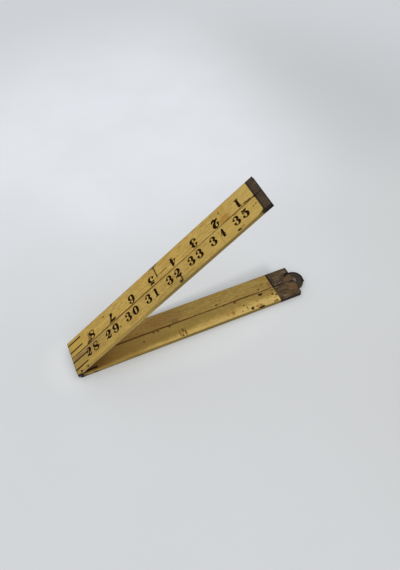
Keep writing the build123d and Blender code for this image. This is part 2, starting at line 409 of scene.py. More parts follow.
# A seam or brass line is (from, to, share at each). A wash is (direction, start, full, colour, share), a
# stain (place, reach, colour, share), on the outward face where it has no Z, and a scored line (middle,
# half size, share). Specks are (start, full, middle Y, spread, share), and a chip in the outward edge is
# (X, length, depth). All sizes are in millimetres.
legs = {
    "outer_leg_27_36": dict(
        upper_tones, body="near_outer", place=raised, side=-1, seed=1, grain=1.1,
        # Its outer edge is lighter: a painted highlight on the rounded arris.
        edge=paint(190, 162, 98), edge_share=0.45,
        pale=paint(182, 153, 79), deep=paint(171, 141, 69), warm=paint(190, 148, 66),
        green=paint(168, 147, 86), line=paint(134, 104, 46), light=paint(198, 170, 98),
        washes=[((1, 0), 65, 5, paint(142, 114, 56), 0.55), ((1, 0), 150, 185, paint(188, 158, 84), 0.45)],
        stains=[
            ((8.5, -3.5), (6, 1.6), purple_stain, 0.55), ((20, -5.4), (4, 0.8), brown_stain, 0.9),
            ((132.9, -9.7), (2.2, 0.8), black_stain, 0.95),
            ((133.3, -12.6), (0.8, 4.4), black_stain, 0.9),
            ((131.4, -16, top_face), (1.5, 1.5, 1.5), black_stain, 1),
            ((49.7, -4.8), (1.2, 0.6), black_stain, 0.7), ((12, 0), (14, 0.5), grime_and_shade_brown, 0.8),
            # The grey-black patch at the fold end of the near side is painted shade in the crevice round
            # the knuckle.
            ((0.9, -17.5, 0.5), (2.5, 0.9, 2.4), paint(30, 24, 26), 1),
            ((6, -17.5, top_face - 0.4), (1.2, 0.9, 1.3), black_stain, 1),
            ((13.8, -17.5, top_face - 0.3), (1.6, 0.9, 1.2), black_stain, 1),
            ((196.4, -15.9, top_face), (1.8, 1.1, 1.5), black_stain, 0.95),
            ((200.4, -15.3), (1.6, 0.7), brown_stain, 0.55),
            ((200.6, -1.3), (2.2, 0.6), brown_stain, 0.5), ((216, -7), (0.9, 0.7), brown_stain, 0.7),
            ((218.6, -6.6), (0.9, 0.6), brown_stain, 0.8), ((34, -8.4), (0.6, 0.6), brown_stain, 0.7),
            ((61, -9.4), (1, 0.9), brown_stain, 0.9), ((203, -0.2), (17, 0.5), seam_grime, 0.4),
            ((222, -17.9, top_face), (3.6, 2.6, 5), grime_and_shade_brown, 1),
            ((217, -17.6), (1.2, 0.7), grime_and_shade_brown, 0.8),
            ((221.9, 0, top_face), (1.9, 1.6, 5), grime_and_shade_brown, 1),
            ((75, -10.5), (8, 5), orange_stain, 0.2), ((72, 0), (62, 0.75), seam_brown, 0.6),
            ((126, -15.8, top_face), (26, 3.4, 2), edge_grime, 0.22),
            ((20, -3.2), (20, 2.4), paint(132, 100, 62), 0.35),
            ((24, -15.8), (18, 2.4), paint(190, 158, 76), 0.4),
        ],
        scored=[((180.1, -10), (0.15, 7.5), 0.4)],
        specks=[(-60, 400, -12, 9, 0.09)],
        chips=[(38, 1.6, 0.2), (9.5, 1.2, 0.3), (150, 2.5, 0.2), (178, 2, 0.15)]),
    "outer_leg_0_9": dict(
        upper_tones, body="far_outer", place=raised, side=1, seed=2, grain=1.05,
        edge=paint(112, 76, 40), edge_share=0.55,
        pale=paint(186, 156, 78), deep=paint(174, 143, 68), warm=paint(196, 152, 64),
        green=paint(175, 154, 94), line=paint(142, 112, 54), light=paint(204, 177, 104),
        washes=[((1, 0), 60, 0, paint(176, 144, 60), 0.6), ((1, 0), 190, 215, paint(190, 162, 92), 0.4)],
        stains=[
            ((26.4, 5.2), (1.6, 4.8), paint(96, 66, 40), 0.65),
            ((25.4, 1.7), (3.2, 1.3), paint(72, 46, 26), 0.9),
            ((23.6, 0.7), (2.6, 0.7), grime_and_shade_brown, 0.85), ((26.6, 9.2), (1.3, 1.2), purple_stain, 0.5),
            ((12, 0), (14, 0.4), grime_and_shade_brown, 0.7), ((47.6, 12.2), (1.1, 0.8), brown_stain, 0.85),
            ((113, 17.2, top_face), (7, 0.7, 1.5), grime_and_shade_brown, 0.85),
            ((113.5, 16.2, top_face), (4, 1.6, 1.5), brown_stain, 0.5),
            ((190.5, 2.8), (5.6, 3), paint(152, 104, 38), 0.65),
            ((188.6, 11.8), (0.6, 1.5), brown_stain, 0.75), ((203, 0.3), (17, 0.5), seam_grime, 0.4),
            ((207.6, 1.9), (2.6, 0.6), brown_stain, 0.85), ((212, 1.6), (2, 0.9), brown_stain, 0.9),
            ((215.4, 1), (2.2, 0.8), grime_and_shade_brown, 0.85), ((218.6, 0.6), (2, 0.5), grime_and_shade_brown, 0.75),
            ((221.9, 0, top_face), (1.9, 1.5, 5), grime_and_shade_brown, 1),
            ((110, 12.5), (26, 4), orange_stain, 0.15), ((72, 0), (62, 0.75), seam_brown, 0.6),
        ],
        scored=[((113.5, 10.2), (0.5, 5.8), 0.95), ((119.5, 5.8), (6, 0.3), 0.7)],
        specks=[(-60, 400, 9, 9, 0.08)],
        chips=[(170, 3, 0.2), (60, 2, 0.15), (113, 3, 0.15)]),
    "inner_leg_18_27": dict(
        lower_tones, body="near_inner", place=lying, side=-1, seed=3, grain=1.25,
        brass_line=(204.6, 205.2, 0, 0.3),
        pale=paint(180, 150, 72), deep=paint(160, 128, 52), warm=paint(178, 140, 68),
        green=paint(164, 142, 64), line=paint(136, 106, 44), light=paint(198, 168, 92),
        washes=[
            # Painted light: darker towards the seam, where the raised legs' shadow falls, and a painted
            # highlight band along the near edge.
            ((-0.05, 1), -21.5, -13, paint(156, 130, 68), 0.6),
            ((-0.05, 1), -15.5, -22.5, paint(212, 183, 112), 0.6),
            # Painted shade in the wedge under the raised legs, darker towards the fold.
            ((1, 0), 95, 15, paint(132, 92, 40), 0.55),
            ((1, 0), 38, 6, paint(106, 70, 38), 0.65)],
        stains=[
            # The grey-black patch at the fold end of the near side is painted shade in the crevice round
            # the knuckle.
            ((1.4, -17.5, -top_face / 2), (2.4, 1.6, 3.4), paint(30, 24, 26), 1),
            ((5.4, -17.5, -top_face / 2), (1.6, 1, 1.4), paint(150, 122, 100), 0.6),
            # A painted highlight along the rounded top edge of the near side, by the fold.
            ((24, -17.4, -1.4), (22, 1.4, 1.6), paint(176, 148, 78), 0.4),
            ((14.5, -17.6, -top_face + 1), (2, 1.4, 1.5), black_stain, 0.95),
            ((6.6, -17.6, -top_face + 0.9), (1.2, 1.4, 1.2), brown_stain, 0.9),
            ((64.4, -7.6), (0.9, 0.9), brown_stain, 0.9), ((80.5, -1.9), (1, 0.8), black_stain, 1),
            ((76, -1.6), (0.9, 1.1), brown_stain, 0.9), ((92.6, -1), (1.6, 1.2), brown_stain, 0.9),
            ((102.5, -10.2), (1.1, 2), brown_stain, 0.9), ((99.2, -10), (0.5, 1.2), brown_stain, 0.6),
            ((98.8, -13.8), (0.6, 2.4), brown_stain, 0.75),
            ((104.6, -13.6), (0.9, 2.8), brown_stain, 0.95),
            ((101, -15.4), (0.9, 1.6), brown_stain, 0.95),
            ((101.8, -12.8), (3.6, 3.6), orange_stain, 0.25),
            ((85, -14), (1.4, 0.8), orange_stain, 0.6), ((149.6, -12.6), (0.6, 2), brown_stain, 0.6),
            ((155.2, -12.2), (0.8, 2.4), brown_stain, 0.8),
            ((158, -9.4), (0.7, 1.4), orange_stain, 0.6), ((154.6, -11.6), (3, 3.4), orange_stain, 0.4),
            ((161.6, -1.6), (1.4, 1.3), paint(96, 56, 16), 0.9),
            ((164.6, -14.2), (0.8, 0.8), brown_stain, 0.7),
            ((168.3, -8.2), (1, 0.9), brown_stain, 0.85),
            ((170.4, -12.2), (0.6, 2.6), brown_stain, 0.75),
            ((174.9, -15, seen_face), (1.6, 1.6, 1.5), black_stain, 1),
            ((176, -13.6, seen_face), (1.4, 0.8, 1.5), brown_stain, 0.7),
            ((184.2, -16.8, seen_face), (3, 1.6, 1.5), black_stain, 1),
            ((182, -14.6, seen_face), (3.8, 2.2, 1.5), orange_stain, 0.4),
            ((180.2, -14.4, seen_face), (1.6, 0.5, 1.5), brown_stain, 0.8),
            ((184.8, -14.2, seen_face), (1.4, 0.5, 1.5), brown_stain, 0.8),
            ((182.8, -9), (0.8, 1.1), brown_stain, 0.7), ((189, -3), (2.3, 1.4), paint(46, 26, 0), 1),
            ((191.2, -2.3), (1.3, 0.7), brown_stain, 0.95),
            ((197, -7.6), (0.9, 0.6), orange_stain, 0.8),
            ((200.7, -7.4), (1.2, 1.2), brown_stain, 0.95),
            ((203.9, -9.4), (1.1, 1.2), black_stain, 0.85),
            ((201.6, -11.6), (1.3, 0.6), orange_stain, 0.9),
            ((199, -16.2), (1, 1.1), brown_stain, 0.85),
            ((201.5, -15.8), (1.1, 1.2), black_stain, 0.85), ((200, -2.4), (5, 0.8), orange_stain, 0.8),
            ((202.4, -2.6), (2.4, 0.6), brown_stain, 0.8), ((70, 0), (50, 1), seam_brown, 0.55),
        ],
        specks=[(140, 215, -12, 11, 0.28), (20, 120, -9, 9, 0.1)],
        chips=[(183.8, 2.2, 0.3), (120, 3, 0.15), (60, 2, 0.15)]),
    "inner_leg_9_18": dict(
        lower_tones, body="far_inner", place=lying, side=1, seed=4, grain=1.15,
        brass_line=(204.3, 205, 0, 0.9),
        pale=paint(178, 150, 79), deep=paint(162, 132, 63), warm=paint(177, 136, 69),
        green=paint(154, 136, 68), line=paint(130, 102, 48), light=paint(188, 162, 92),
        # Painted shade in the wedge under the raised legs, darker towards the fold.
        washes=[((1, 0), 120, 30, paint(130, 86, 40), 0.55), ((1, 0), 38, 6, paint(104, 70, 38), 0.6)],
        stains=[
            ((92, 9.5), (18, 7), paint(126, 90, 48), 0.4), ((112.5, 11), (9, 0.5), brown_stain, 0.5),
            ((100, 2.6), (4, 2.4), paint(104, 76, 46), 0.45), ((88, 12), (6, 2.2), orange_stain, 0.25),
            ((143.6, 3.3), (1.5, 0.9), brown_stain, 0.95), ((147.8, 3.8), (0.9, 0.5), brown_stain, 0.5),
            ((145.2, 8.8), (0.8, 0.6), brown_stain, 0.5), ((190.4, 3.2), (1.1, 1), brown_stain, 0.85),
            ((196, 8), (3, 0.8), brown_stain, 0.4), ((191, 9), (1.4, 0.8), brown_stain, 0.4),
            ((203, 4.4), (2, 4), paint(128, 84, 54), 0.55), ((200.5, 13), (4, 1.2), orange_stain, 0.45),
            ((70, 0), (50, 1), seam_brown, 0.55),
        ],
        specks=[(60, 260, 9, 10, 0.12)],
        chips=[(140, 2.5, 0.15)]),
}
for name, leg in legs.items():
    is_raised = leg["place"] is raised
    kind = "outer" if is_raised else "inner"
    face_z = (face_offset, outer_face) if is_raised else (-outer_face, -face_offset)
    leg["face_z"] = (face_z[0] / mm, face_z[1] / mm)
    leg["kerfs"] = [
        (leg["side"] * plate_y, plate_ends[kind], kerf_half_widths[kind])
        for plate_y in plate_places[kind]]
    wood = boxwood("boxwood_" + name, leg)
    shape = worn_leg(name, leg["place"], face_z, leg["side"], leg["chips"], leg["seed"])
    strip = piece("wood_" + name, shape, leg["place"], wood, leg["body"])
    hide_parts(name)


# Figures
# Fat-face figures one inch apart, stamped into the outer faces and filled with black ink, upright as read
# from each leg's own outer edge. A leg's tens stand before the inch line and its units behind it.

inch = 25.4 * mm
# The ink is a closed layer that stands this proud of the face and goes this deep into the wood, in
# millimetres, and every stroke of it is this much wider than its stamp.
ink_rise = 0.035
ink_root = 0.06
ink_spread = 0.35

# Each stroke is a chain of (x, y, width) on a figure whose middle is at 0, 0; a dot is (x, y, radius).
figure_strokes = {
    "1": [[(0, 4.1, 1.2), (0, 3.2, 1.65), (0, -3.2, 1.65), (0, -4, 1.6)],
          [(-1.7, 3, 0.3), (-0.8, 3.6, 0.6), (0.1, 3.95, 0.8)],
          [(-1.9, -4.05, 0.5), (1.9, -4.05, 0.5)]],
    "2": [[(-1.9, 1.9, 0.5), (-1.2, 3.5, 0.4), (0.2, 4, 0.6), (1.6, 3.1, 2), (1.95, 1.7, 2.4),
           (1.3, 0.1, 1.8), (-0.2, -1.3, 0.9), (-1.8, -2.5, 0.5), (-2.9, -3.8, 0.4)],
          [(-2.9, -3.5, 0.3), (-2, -2.6, 0.9), (-0.6, -2.8, 1.5), (0.9, -3.4, 1.6), (2.2, -3, 1),
           (3, -1.7, 0.3)]],
    "3": [[(-2.2, 2, 0.5), (-1.5, 3.6, 0.45), (0, 4, 0.55), (1.4, 3.3, 1.6), (1.85, 2, 2.1),
           (1.3, 0.75, 1.4), (0.1, 0.1, 0.5)],
          [(0.1, 0.1, 0.5), (1.5, -0.3, 1.3), (2.2, -1.9, 2.4), (1.6, -3.4, 1.6), (0, -4.05, 0.55),
           (-1.6, -3.7, 0.45), (-2.4, -2.5, 0.5)]],
    "4": [[(1.3, 4.2, 0.7), (1.1, 3.2, 1.7), (1.1, 1, 2), (1.1, -3.4, 2), (1.1, -4, 2)],
          [(0.9, 3.9, 0.4), (-3, -1.5, 0.45)],
          [(-3.2, -1.6, 0.5), (3.3, -1.5, 0.5)],
          [(-0.6, -4.05, 0.3), (2.8, -4.05, 0.3)]],
    "rubbed 4": [[(0.6, 4.2, 0.5), (0.4, 3.2, 1.5), (0.3, 1, 1.9), (0.3, -3.4, 1.9), (0.3, -4, 1.9)],
                 [(0.1, 3.4, 0.2), (-1.9, -0.6, 0.2)],
                 [(-2.4, -1.5, 0.4), (2.4, -1.4, 0.4)],
                 [(-1.3, -4.05, 0.3), (2, -4.05, 0.3)]],
    "5": [[(-1.9, 3.9, 0.3), (-1.3, 3.1, 1.2), (0.2, 2.8, 1.5), (1.6, 3.1, 1.3), (2.4, 3.9, 0.3)],
          [(-1.9, 3.7, 0.45), (-2.1, 0.3, 0.45)],
          [(-2.1, 0.2, 0.4), (-0.6, 1.1, 0.55), (1, 0.75, 1.5), (2.05, -1.2, 2.4), (1.4, -3.2, 1.8),
           (-0.2, -4.05, 0.55), (-1.7, -3.6, 0.45), (-2.5, -2.6, 0.5)]],
    "7": [[(-3, 1.9, 0.3), (-2.7, 2.9, 1.2), (-1.3, 3.2, 1.5), (0.3, 3.1, 1.6), (1.8, 3.2, 1.2),
           (3.2, 4.1, 0.3)],
          [(2.6, 3.5, 0.35), (1.4, 1.8, 0.8), (0.5, -0.4, 1.5), (-0.1, -2.3, 2.5), (-0.15, -3.3, 2.3)]],
    "9": [[(0.1, 4.05, 0.5), (1.5, 3.4, 1.4), (2.3, 1.3, 2.1), (2.3, -0.9, 2.1), (1.6, -3.1, 1.5),
           (0.1, -4.1, 0.55), (-1.5, -3.8, 0.45), (-2.5, -2.8, 0.5)],
          [(0.1, 4.05, 0.5), (-1.4, 3.3, 1.4), (-2.2, 1.6, 2.05), (-1.6, 0, 1.4), (-0.2, -0.9, 0.5),
           (1.3, -0.3, 0.55), (1.9, 0.8, 0.5)]],
}
figure_dots = {
    "2": [(-2, 1, 1.15)],
    "3": [(-1.95, 1.85, 1.1), (-2, -2.05, 1.2)],
    "5": [(-2.2, -2.3, 1.15)],
    "9": [(-2.3, -2.3, 1)],
}
# Closed strokes, whose end runs on into their start.
figure_rings = {
    "0": [(2.15, 0, 2.15), (1.7, 2.5, 1.75), (0, 3.95, 0.5), (-1.7, 2.5, 1.75), (-2.15, 0, 2.15),
          (-1.7, -2.5, 1.75), (0, -3.95, 0.5), (1.7, -2.5, 1.75)],
    "8": [(-2.4, 1.6, 1.6), (-1.5, 0.6, 1.9), (0, -0.2, 2), (1.5, -1, 2.1), (2.4, -2.2, 1.7),
          (1.7, -3.6, 0.7), (0, -4.1, 0.5), (-1.9, -3.6, 0.5), (-2.8, -2.2, 0.6), (-1.9, -0.8, 0.5),
          (0, 0.2, 0.45), (1.9, 1.3, 0.5), (2.4, 2.6, 0.6), (1.4, 3.8, 0.5), (0, 4.05, 0.5),
          (-1.6, 3.5, 0.7)],
}


def smooth_chain(chain, closed):
    """Points on a smooth curve through the chain, each with its width."""
    steps = 7
    count = len(chain)
    ends = [Vector(point) for point in chain]
    points = []
    for index in range(count if closed else count - 1):
        start, end = ends[index], ends[(index + 1) % count]
        length = (end - start).xy.length
        pulls = []
        for here, back in ((index, -1), ((index + 1) % count, 1)):
            beyond = ends[(index + (-1 if back < 0 else 2)) % count]
            if not closed and (here == 0 or here == count - 1):
                pulls.append(end - start)
                continue
            other = (beyond - ends[here]).xy.length
            straight = (end - start) / length
            bent = (ends[here] - beyond) / other * -back
            pulls.append((straight * other + bent * length) / (length + other) * length)
        for step in range(steps):
            t = step / steps
            points.append(
                start * (2 * t ** 3 - 3 * t ** 2 + 1) + pulls[0] * (t ** 3 - 2 * t ** 2 + t)
                + end * (3 * t ** 2 - 2 * t ** 3) + pulls[1] * (t ** 3 - t ** 2))
    if not closed:
        points.append(ends[-1])
    return points


def stroke_patches(chain, spread, closed=False):
    """The three-cornered patches of a pen stroke that swells and thins along its chain."""
    thinnest = 0.2
    least_area = 1e-4
    points = smooth_chain(chain, closed)
    count = len(points)
    sides = []
    for index, point in enumerate(points):
        before = points[(index - 1) % count if closed else max(index - 1, 0)]
        after = points[(index + 1) % count if closed else min(index + 1, count - 1)]
        along = Vector((after.x - before.x, after.y - before.y)).normalized()
        aside = Vector((-along.y, along.x)) * (max(point.z, thinnest) + spread) / 2
        middle = Vector((point.x, point.y))
        sides.append((middle + aside, middle - aside))
    patches = []
    for index in range(count if closed else count - 1):
        one, two = sides[index], sides[(index + 1) % count]
        for a, b, c in ((one[0], one[1], two[1]), (one[0], two[1], two[0])):
            area = (b - a).cross(c - a)
            if abs(area) > least_area:
                patches.append([a, b, c] if area > 0 else [a, c, b])
    return patches


def dot_outline(x, y, radius, sides=20):
    return [
        Vector((x + radius * math.cos(turn), y + radius * math.sin(turn)))
        for turn in (2 * math.pi * index / sides for index in range(sides))]


def figure_patches(figure, spread):
    """Every patch of a figure, in millimetres about its middle. A six is a nine turned round."""
    if figure == "6":
        return [[-point for point in patch] for patch in figure_patches("9", spread)]
    patches = []
    for chain in figure_strokes.get(figure, []):
        patches += stroke_patches(chain, spread)
    for dot in figure_dots.get(figure, []):
        patches.append(dot_outline(*dot))
    if figure in figure_rings:
        patches += stroke_patches(figure_rings[figure], spread, closed=True)
    return patches


def inked(patches, basis, shape):
    """Joins flat patches into one thin closed layer of ink, laid on a face by its basis, in `shape`."""
    same_point = 1e-3
    points, faces = [], []
    for patch in patches:
        faces.append(list(range(len(points), len(points) + len(patch))))
        points += patch
    flat_points, _, triangles, _, _, covered_by = delaunay_2d_cdt(points, [], faces, 0, same_point)
    triangles = [triangle for triangle, patches in zip(triangles, covered_by) if patches]
    used = sorted({index for triangle in triangles for index in triangle})
    foot = {index: shape.verts.new(basis @ Vector((*flat_points[index], -ink_root))) for index in used}
    crown = {index: shape.verts.new(basis @ Vector((*flat_points[index], ink_rise))) for index in used}
    edges = [edge for a, b, c in triangles for edge in ((a, b), (b, c), (c, a))]
    for a, b, c in triangles:
        shape.faces.new((foot[c], foot[b], foot[a]))
        shape.faces.new((crown[a], crown[b], crown[c]))
    shared = set(edges)
    for a, b in edges:
        if (b, a) not in shared:
            shape.faces.new((foot[a], foot[b], crown[b], crown[a]))


ink = Finish("black_ink", paint(30, 15, 2), roughness=0.8, shine=0.03)
ink_place = ink.place()
ink_wear = ink.cloud(ink_place, 0.8, 4.0, 0.65)
ink.coat(ink.ramp(ink_wear, 0.54, 0.74, 0, 0.5), paint(66, 42, 12))
ink_edge = ink.cloud(ink_place, (0.5, 3.0, 3.0), 3.0)
ink.coat(ink.ramp(ink_edge, 0.62, 0.76, 0, 0.3), paint(96, 72, 34))
ink.bump(ink_wear, 0.02)

tens_place = -4.9
units_place = 4.5
lone_place = -4.6
near_row = -6.9
far_row = 5.7
# The rubbed 4 stands further from its 3. The last figures of an underside are squeezed together and
# moved back, to stay on the wood.
rubbed_shift = 1.5
last_figure_squeeze = 0.6
last_figure_shift = 4.6
# How far single stamps were struck off their place along the leg.
stamp_drift = {
    7: 0.5, 6: 0.7, 5: 0.6, 4: 1.3, 3: 0.3, 2: -0.4, 1: -1.2, 29: 0.4, 30: 0.4, 34: -0.6, 35: -0.4}
# Stamps struck harder: how many times larger the figure came out, and how much wider its ink spread.
hard_stamps = {7: (1.12, 0.1), 2: (1.06, 0.4), 3: (1.0, 0.15), 1: (1.02, 0.1), 29: (1.0, 0.1)}
# For each leg: its body and place, its figures, the figure at its fold, the row's Y, 1 where the row reads
# from the fold to the end and -1 where it reads back, and 1 for a face that looks up.
figure_rows = {
    "figures_28_35": ("near_outer", raised, range(28, 36), 27, near_row, 1, 1),
    "figures_1_8": ("far_outer", raised, range(1, 9), 9, far_row, -1, 1),
    "figures_19_26": ("near_inner", lying, range(19, 27), 27, near_row, 1, -1),
    "figures_10_17": ("far_inner", lying, range(10, 18), 9, far_row, -1, -1),
}
for name, (body, place, numbers, fold_figure, row_y, reading, looks_up) in figure_rows.items():
    shape = bmesh.new()
    for number in numbers:
        line_x = abs(number - fold_figure) * inch + stamp_drift.get(number, 0) * mm
        digits = list(str(number))
        if number == 34:
            digits[1] = "rubbed 4"
        offsets = [tens_place, units_place] if len(digits) == 2 else [lone_place]
        if looks_up < 0 and abs(number - fold_figure) == 8:
            back = reading * looks_up * last_figure_shift
            offsets = [offset * last_figure_squeeze - back for offset in offsets]
        face = Matrix.Rotation(0 if reading > 0 else math.pi, 4, "Z")
        height = outer_face
        if looks_up < 0:
            face = face @ Matrix.Rotation(math.pi, 4, "Y")
            height = -outer_face + underside_lift
        for digit, offset in zip(digits, offsets):
            if digit == "rubbed 4":
                offset += rubbed_shift
            middle = Vector((line_x + looks_up * reading * offset * mm, row_y * mm, height))
            larger, wider = hard_stamps.get(number, (1, 0))
            stamp = Matrix.Scale(mm, 4) @ Matrix.Diagonal((larger, larger, 1, 1))
            basis = Matrix.Translation(middle) @ face @ stamp
            inked(figure_patches(digit, ink_spread + wider), basis, shape)
    piece(name, shape, place, ink.material, body, sharp_angle=30)


# Brass of the main joint
# Two leaves of thick sheet brass round the ends of the inner legs, filed crosswise, gone brown and pinned
# to the wood. The far leaf's tongue turns between the near leaf's two cheeks, on a rivet with a dimple.

def old_brass(
        name, tones, file_angle, roughness, marks=1.0, worn_spots_and_painted_light=(), bars=(), painted_shadow_rings=(), spread=1.0,
        metallic=0.3, painted_side_shading=paint(40, 33, 26)):
    """Brown brass with curved file marks, dull patches and a little bare metal, and painted shade on faces
    that do not look up. The tones are its dark, its light, its bright and its grime. A spot, worn or of
    painted light and shade, is (centre, reach, colour, share), on the joint's top where it has no Z, a bar
    (centre, half size, colour, share), and a ring round the pivot (radius, half width, share), a painted
    shadow line on its far right side."""
    dark, light, bright, deep = tones
    finish = Finish(name, dark, metallic, roughness, shine=0.15)
    own = finish.place()
    x, y = finish.split(own)[:2]
    # The file marks curve by up to a few millimetres.
    bent = finish.swung(finish.cloud(own, (0.06, 0.06, 0.06), 1.0), 9.0)
    along, aside = finish.split(finish.turned(own, file_angle))[:2]
    curved = finish.add("CombineXYZ", {0: along, 1: finish.plus(aside, bent)})
    patches = finish.cloud(own, 0.2, 4.0, 0.6)
    grime = finish.cloud(own, 0.9, 4.0, 0.65)
    file_marks = finish.cloud(curved, (0.1, 1.1, 1.0), 2.0, 0.6)
    fine_marks = finish.cloud(curved, (0.25, 3.2, 1.0), 2.0, 0.6)
    finish.coat(finish.ramp(patches, 0.38, 0.6), light)
    wobble = finish.swung(grime, 1.2)
    for centre, reach, shade, share in worn_spots_and_painted_light:
        if len(centre) == 2:
            centre, reach = (*centre, joint_top), (*reach, 2.0)
        rim = finish.plus(finish.spot(own, centre, reach), wobble)
        finish.coat(finish.ramp(rim, 0.5, 1.2, share, 0), shade)
    finish.coat(finish.ramp(file_marks, 0.52, 0.64, 0, 0.7 * marks), bright)
    finish.coat(finish.ramp(file_marks, 0.48, 0.36, 0, 0.75 * marks), deep)
    finish.coat(finish.ramp(fine_marks, 0.52, 0.66, 0, 0.5 * marks), deep)
    finish.coat(finish.ramp(grime, 0.52, 0.68, 0, 0.7 * spread), deep)
    for centre, half_size, shade, share in bars:
        finish.coat(finish.times(finish.bar(own, centre, half_size, 0.5), share), shade)
    # Painted shadow lines round the pivot, on their far right side.
    for radius, half_width, share in painted_shadow_rings:
        off = finish.unsigned(finish.minus(finish.spot(own, (0, 0, 0), (1, 1, any_height)), radius))
        ring = finish.ramp(off, half_width, half_width + 0.5, 1, 0)
        far_right_painted_shade = finish.ramp(finish.plus(x, y), -2.0, 2.0, 0, share)
        finish.coat(finish.times(ring, far_right_painted_shade), black_brown)
    # Faces that do not look up take painted shade.
    finish.coat(finish.ramp(finish.facing()[2], 0.8, 0.5, 0, 0.85), painted_side_shading)
    finish.roughness(finish.ramp(grime, 0.3, 0.7, roughness - 0.1, roughness + 0.15))
    relief = finish.plus(file_marks, finish.times(grime, 0.7))
    finish.bump(finish.plus(relief, finish.times(fine_marks, 0.5)), 0.05)
    return finish.material


def eased(node, ease, place=Matrix.Identity(4)):
    """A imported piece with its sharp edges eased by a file."""
    shape = cad_shape(node, place)
    sharp = [
        edge for edge in shape.edges
        if len(edge.link_faces) == 2 and edge.calc_face_angle() > math.radians(35)]
    bmesh.ops.bevel(
        shape, geom=sharp, offset=ease * mm, offset_type="OFFSET", segments=2, profile=0.5,
        affect="EDGES", clamp_overlap=True)
    return shape


def dress(names, look):
    """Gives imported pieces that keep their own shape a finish."""
    for name in names:
        materials = frame["nodes"][name].data.materials
        materials.clear()
        materials.append(look)


joint_top = leg_high.z / mm
# The reach in Z of a spot that counts at any height.
any_height = 1e6
black_brown = paint(30, 20, 13)
# Where the leaves end on the wood, and how far their edges are filed back.
boundary = -23.2
leaf_ease = 0.12
fork_brass = old_brass(
    "brown_fork_brass",
    (paint(80, 64, 43), paint(96, 77, 52), paint(128, 106, 78), paint(47, 34, 22)), 10, 0.45,
    metallic=0.55,
    worn_spots_and_painted_light=[
        ((-5, 3.4), (5, 4.2), paint(108, 84, 54), 0.8),
        ((-3.5, -6.5), (5, 3.4), paint(118, 84, 48), 0.85),
        ((-3, -10.6), (3, 1.8), paint(112, 78, 54), 0.7),
        ((-20, -1.6), (2.6, 0.8), paint(136, 112, 98), 0.7),
        ((-17, -13.6), (4, 0.8), paint(138, 114, 106), 0.7),
        ((-12, -6), (3.4, 0.5), paint(124, 102, 92), 0.7),
        ((-20, -11), (3, 0.7), paint(118, 96, 86), 0.6),
        # A painted shadow beside the rivet's dimple, on its left.
        ((-2.9, -0.8), (2.2, 1.3), paint(24, 12, 2), 1),
        ((1.2, -3.2), (0.9, 1.5), paint(112, 104, 92), 0.8),
        ((-22, -16.6, joint_top), (3.4, 1.6, 4), black_brown, 0.8),
    ],
    bars=[
        ((boundary, -8.8), (0.5, 9), black_brown, 0.5), ((-17.4, 0), (5.8, 0.4), black_brown, 0.9),
        ((10.4, 0), (10, 12), paint(54, 49, 43), 0.88), ((-0.2, -14), (0.5, 4), black_brown, 0.6),
    ],
    # The ring is a painted shadow line round the pivot's far right side.
    painted_shadow_rings=[(9.5, 0.9, 1)])
tongue_brass = old_brass(
    "brown_tongue_brass",
    (paint(81, 65, 47), paint(96, 79, 55), paint(124, 103, 74), paint(48, 36, 26)), -4, 0.45,
    metallic=0.55,
    worn_spots_and_painted_light=[
        ((-11.5, 3.2), (2.6, 3.8), paint(68, 54, 60), 0.9),
        ((-21, 7), (2.2, 5), paint(60, 46, 44), 0.85),
        ((-4.6, 13.4), (2.8, 2.4), paint(124, 102, 70), 0.8),
        ((-15, 10.5), (4, 2.6), paint(100, 84, 60), 0.6),
        ((-19.5, 1.3), (2.4, 0.6), paint(130, 108, 92), 0.6),
    ],
    bars=[
        ((boundary, 8.8), (0.9, 9), black_brown, 0.95), ((-17.4, 0), (5.8, 0.4), black_brown, 0.9),
        # The bar along the far edge at Y 17.3 is a painted shadow line.
        ((-0.5, 14.5), (0.6, 4), black_brown, 0.75), ((-12, 17.3), (12, 0.5), black_brown, 0.85),
        ((-2.6, 10.4), (2.6, 0.5), black_brown, 0.8),
    ],
    # The ring is a painted shadow line round the pivot's far right side.
    painted_shadow_rings=[(10.6, 0.35, 0.9)])
for name, body, look in (
        ("joint_fork", "near_inner", fork_brass), ("joint_tongue", "far_inner", tongue_brass)):
    leaf = piece("brass_" + name, eased(name, leaf_ease), Matrix.Identity(4), look, body)
    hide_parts(name)

pin_brass = old_brass(
    "worn_pin_brass",
    (paint(80, 62, 43), paint(94, 74, 51), paint(112, 90, 62), paint(48, 37, 27)), 60, 0.45)
dress(("joint_fork_pins", "joint_tongue_pins"), pin_brass)

rivet_brass = old_brass(
    "dimpled_rivet_brass",
    (paint(80, 70, 58), paint(92, 80, 64), paint(108, 94, 74), paint(44, 36, 28)), 30, 0.42, marks=0.4,
    worn_spots_and_painted_light=[
        # A painted highlight on the right wall of the rivet's dimple and painted shadow in its left.
        ((1.3, -0.5), (1.1, 3), paint(116, 108, 92), 1),
        ((-1.6, -0.8), (2.3, 1.3), paint(24, 12, 2), 1),
    ])
rivet = piece(
    "brass_joint_rivet", cad_shape("joint_rivet", Matrix.Identity(4)), Matrix.Identity(4), rivet_brass,
    "near_inner")
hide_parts("joint_rivet")


# Fold joints
# Thin brass plates set on edge in saw kerfs in the ends of the legs, tarnished almost black, with knuckles
# that turn on a steel pin. Two short brass pins across each leg hold the plates.

plate_brass = old_brass(
    "black_plate_brass",
    (paint(38, 25, 4), paint(50, 34, 8), paint(72, 48, 16), paint(24, 13, 1)), 5, 0.7,
    metallic=0.1, painted_side_shading=paint(38, 30, 26))
dress((
    "fold_leaf_27_36", "fold_leaf_0_9", "fold_knuckles_18_27", "fold_knuckles_9_18",
    "cross_pins_27_36", "cross_pins_0_9", "cross_pins_18_27", "cross_pins_9_18"), plate_brass)


